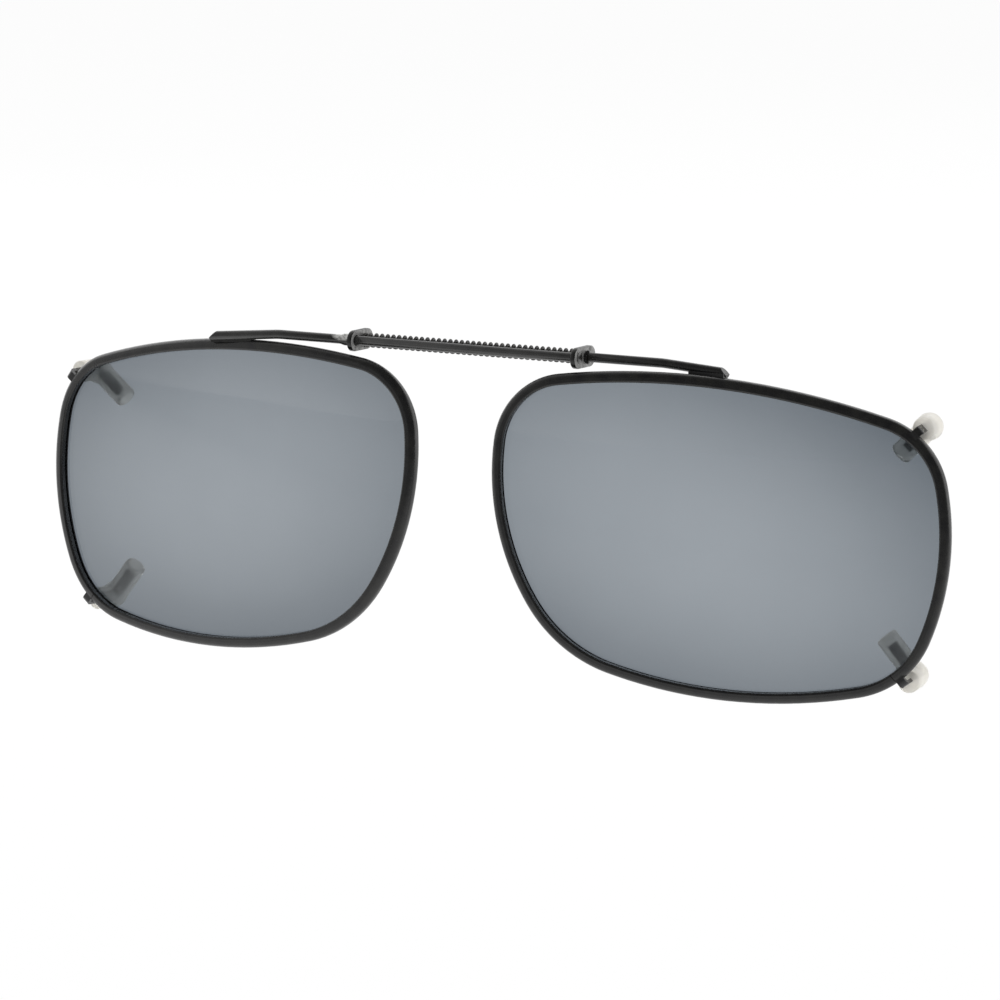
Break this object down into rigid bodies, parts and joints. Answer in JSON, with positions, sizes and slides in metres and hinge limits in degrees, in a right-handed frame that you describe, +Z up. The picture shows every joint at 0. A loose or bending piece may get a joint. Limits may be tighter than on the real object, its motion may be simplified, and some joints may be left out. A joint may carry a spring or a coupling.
{
  "type": "clip on sunglasses",
  "caption": "Clip-on sun lenses for spectacles: rimmed tinted lenses on a spring-loaded sliding rod bridge, with silicone-sleeved hooks behind the rims.",
  "frame": {"origin": "midway between the two lens centres, level with the lens surfaces' front-most points", "axes": "+X towards the wearer's left, +Y towards the wearer's face and the spectacles, +Z up"},
  "size_m": [0.1262, 0.0164, 0.0422],
  "materials": {
    "black_metal": "satin black paint over metal",
    "tinted_lens": "polished grey see-through plastic",
    "clear_silicone": "cloudy clear silicone",
    "spring_wire": "dark spring wire"
  },
  "bodies": {
    "right_eye_half": {"right_rim": "black_metal", "right_lens": "tinted_lens", "right_upper_hook": "black_metal", "right_upper_sleeve": "clear_silicone", "right_lower_hook": "black_metal", "right_lower_sleeve": "clear_silicone", "right_rod": "black_metal", "right_rod_pad": "black_metal", "left_guide_plate": "black_metal", "bridge_spring": "spring_wire"},
    "left_eye_half": {"left_rim": "black_metal", "left_lens": "tinted_lens", "left_upper_hook": "black_metal", "left_upper_sleeve": "clear_silicone", "left_lower_hook": "black_metal", "left_lower_sleeve": "clear_silicone", "left_rod": "black_metal", "left_rod_pad": "black_metal", "right_guide_plate": "black_metal"}
  },
  "joints": [
    {"name": "bridge_draw", "type": "slide", "parent": "right_eye_half", "child": "left_eye_half", "axis": [1, 0, 0], "range_m": [0, 0.012], "stiffness_N_per_m": 720, "springref_m": -0.004, "deforming": ["bridge_spring"]}
  ]
}
